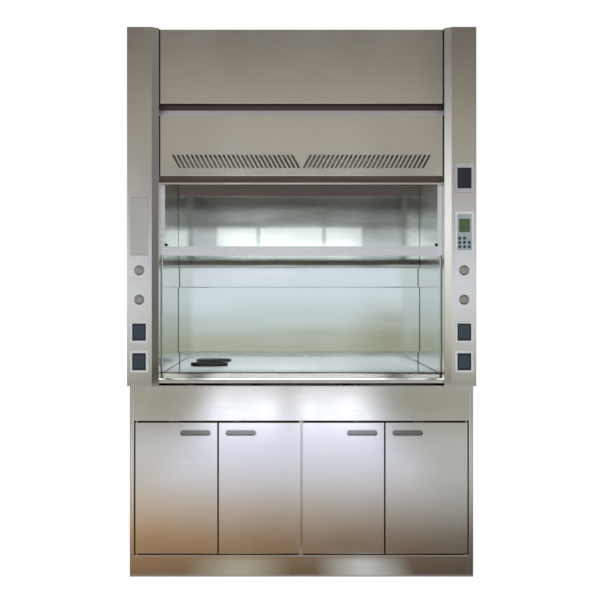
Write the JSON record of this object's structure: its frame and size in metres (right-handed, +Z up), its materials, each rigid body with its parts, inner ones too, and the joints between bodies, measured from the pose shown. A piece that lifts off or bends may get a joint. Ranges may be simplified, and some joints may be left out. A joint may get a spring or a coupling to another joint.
{
  "type": "ducted fume hood",
  "caption": "Stainless ducted fume hood with a counterbalanced sash, slotted bypass fascia, cup sink, service columns and a cupboard base with pivoting doors.",
  "frame": {"origin": "on the floor under the middle of the hood's footprint", "axes": "+Z up, +X to the right of someone who stands in front, +Y to the back; the front faces -Y"},
  "size_m": [1.5, 0.8595, 2.474],
  "materials": {
    "panel_steel": "satin",
    "liner_steel": "satin",
    "sill_steel": "satin",
    "base_steel": "satin",
    "frame_steel": "satin",
    "lamp_housing": "gloss",
    "lamp_pane": "satin",
    "sink_plastic": "satin",
    "guide_aluminium": "satin",
    "sash_aluminium": "satin",
    "safety_glass": "polished",
    "buffer_rubber": "matte",
    "weight_steel": "satin",
    "sheave_plastic": "satin",
    "cable_steel": "satin",
    "cap_steel": "satin",
    "socket_frame_plastic": "satin",
    "socket_plastic": "satin",
    "cover_plate": "satin",
    "monitor_plastic": "satin",
    "monitor_glass": "gloss",
    "controller_plastic": "satin",
    "screen_glass": "gloss",
    "key_plastic": "satin"
  },
  "bodies": {
    "root": {"side_panels": "panel_steel", "rear_panel": "panel_steel", "roof_panel": "panel_steel", "exhaust_collar": "panel_steel", "left_column": "panel_steel", "right_column": "panel_steel", "upper_fascia": "panel_steel", "lower_fascia": "panel_steel", "side_liners": "liner_steel", "rear_liner": "liner_steel", "ceiling_liner": "liner_steel", "lower_baffle": "liner_steel", "upper_baffle": "liner_steel", "baffle_standoffs": "liner_steel", "worktop": "liner_steel", "airfoil_sill": "sill_steel", "base_sides": "base_steel", "base_back": "base_steel", "base_floor": "base_steel", "base_top": "base_steel", "base_partition": "base_steel", "apron": "base_steel", "plinth": "base_steel", "worktop_bearers": "frame_steel", "sheave_brackets": "frame_steel", "luminaire": "lamp_housing", "light_diffuser": "lamp_pane", "cup_sink": "sink_plastic", "sash_guides": "guide_aluminium", "cable_wraps": "cable_steel", "service_hole_caps": "cap_steel", "socket_frames": "socket_frame_plastic", "socket_faces": "socket_plastic", "access_cover": "cover_plate", "monitor_frame": "monitor_plastic", "monitor_window": "monitor_glass", "controller_case": "controller_plastic", "controller_screen": "screen_glass"},
    "sash": {"sash_frame": "sash_aluminium", "sash_glass": "safety_glass", "sash_corner_blocks": "buffer_rubber", "sash_cables": "cable_steel"},
    "left_weight": {"left_counterweight": "weight_steel", "left_weight_cable": "cable_steel"},
    "right_weight": {"right_counterweight": "weight_steel", "right_weight_cable": "cable_steel"},
    "left_wheel": {"left_sheave": "sheave_plastic"},
    "right_wheel": {"right_sheave": "sheave_plastic"},
    "door_1": {"door_1": "base_steel"},
    "door_2": {"door_2": "base_steel"},
    "door_3": {"door_3": "base_steel"},
    "door_4": {"door_4": "base_steel"},
    "key_1": {"key_1": "key_plastic"},
    "key_2": {"key_2": "key_plastic"},
    "key_3": {"key_3": "key_plastic"},
    "key_4": {"key_4": "key_plastic"},
    "key_5": {"key_5": "key_plastic"},
    "key_6": {"key_6": "key_plastic"},
    "key_7": {"key_7": "key_plastic"},
    "key_8": {"key_8": "key_plastic"}
  },
  "joints": [
    {"name": "sash_slide", "type": "slide", "parent": "root", "child": "sash", "axis": [0, 0, 1], "range_m": [-0.51, 0.09], "deforming": ["sash_cables"]},
    {"name": "left_weight_slide", "type": "slide", "parent": "root", "child": "left_weight", "axis": [0, 0, 1], "range_m": [-0.091, 0.511], "deforming": ["left_weight_cable"]},
    {"name": "left_sheave_turn", "type": "hinge", "parent": "root", "child": "left_wheel", "pos_m": [-0.665, -0.283, 2.294], "axis": [1, 0, 0], "range_deg": [-95, 532]},
    {"name": "right_weight_slide", "type": "slide", "parent": "root", "child": "right_weight", "axis": [0, 0, 1], "range_m": [-0.091, 0.511], "deforming": ["right_weight_cable"]},
    {"name": "right_sheave_turn", "type": "hinge", "parent": "root", "child": "right_wheel", "pos_m": [0.665, -0.283, 2.294], "axis": [1, 0, 0], "range_deg": [-95, 532]},
    {"name": "door_1_hinge", "type": "hinge", "parent": "root", "child": "door_1", "pos_m": [-0.7145, -0.379, 0.3865], "axis": [0, 0, -1], "range_deg": [0, 110]},
    {"name": "door_2_hinge", "type": "hinge", "parent": "root", "child": "door_2", "pos_m": [-0.0085, -0.379, 0.3865], "axis": [0, 0, 1], "range_deg": [0, 90]},
    {"name": "door_3_hinge", "type": "hinge", "parent": "root", "child": "door_3", "pos_m": [0.0085, -0.379, 0.3865], "axis": [0, 0, -1], "range_deg": [0, 90]},
    {"name": "door_4_hinge", "type": "hinge", "parent": "root", "child": "door_4", "pos_m": [0.7145, -0.379, 0.3865], "axis": [0, 0, 1], "range_deg": [0, 110]},
    {"name": "key_1_press", "type": "slide", "parent": "root", "child": "key_1", "axis": [0, 1, 0], "range_m": [0, 0.001], "stiffness_N_per_m": 300, "springref_m": -0.001},
    {"name": "key_2_press", "type": "slide", "parent": "root", "child": "key_2", "axis": [0, 1, 0], "range_m": [0, 0.001], "stiffness_N_per_m": 300, "springref_m": -0.001},
    {"name": "key_3_press", "type": "slide", "parent": "root", "child": "key_3", "axis": [0, 1, 0], "range_m": [0, 0.001], "stiffness_N_per_m": 300, "springref_m": -0.001},
    {"name": "key_4_press", "type": "slide", "parent": "root", "child": "key_4", "axis": [0, 1, 0], "range_m": [0, 0.001], "stiffness_N_per_m": 300, "springref_m": -0.001},
    {"name": "key_5_press", "type": "slide", "parent": "root", "child": "key_5", "axis": [0, 1, 0], "range_m": [0, 0.001], "stiffness_N_per_m": 300, "springref_m": -0.001},
    {"name": "key_6_press", "type": "slide", "parent": "root", "child": "key_6", "axis": [0, 1, 0], "range_m": [0, 0.001], "stiffness_N_per_m": 300, "springref_m": -0.001},
    {"name": "key_7_press", "type": "slide", "parent": "root", "child": "key_7", "axis": [0, 1, 0], "range_m": [0, 0.001], "stiffness_N_per_m": 300, "springref_m": -0.001},
    {"name": "key_8_press", "type": "slide", "parent": "root", "child": "key_8", "axis": [0, 1, 0], "range_m": [0, 0.001], "stiffness_N_per_m": 300, "springref_m": -0.001}
  ],
  "couplings": [
    {"joint": "left_weight_slide", "follows": "sash_slide", "ratio": -1},
    {"joint": "left_sheave_turn", "follows": "sash_slide", "rad_per_m": -18.182},
    {"joint": "right_weight_slide", "follows": "sash_slide", "ratio": -1},
    {"joint": "right_sheave_turn", "follows": "sash_slide", "rad_per_m": -18.182}
  ]
}
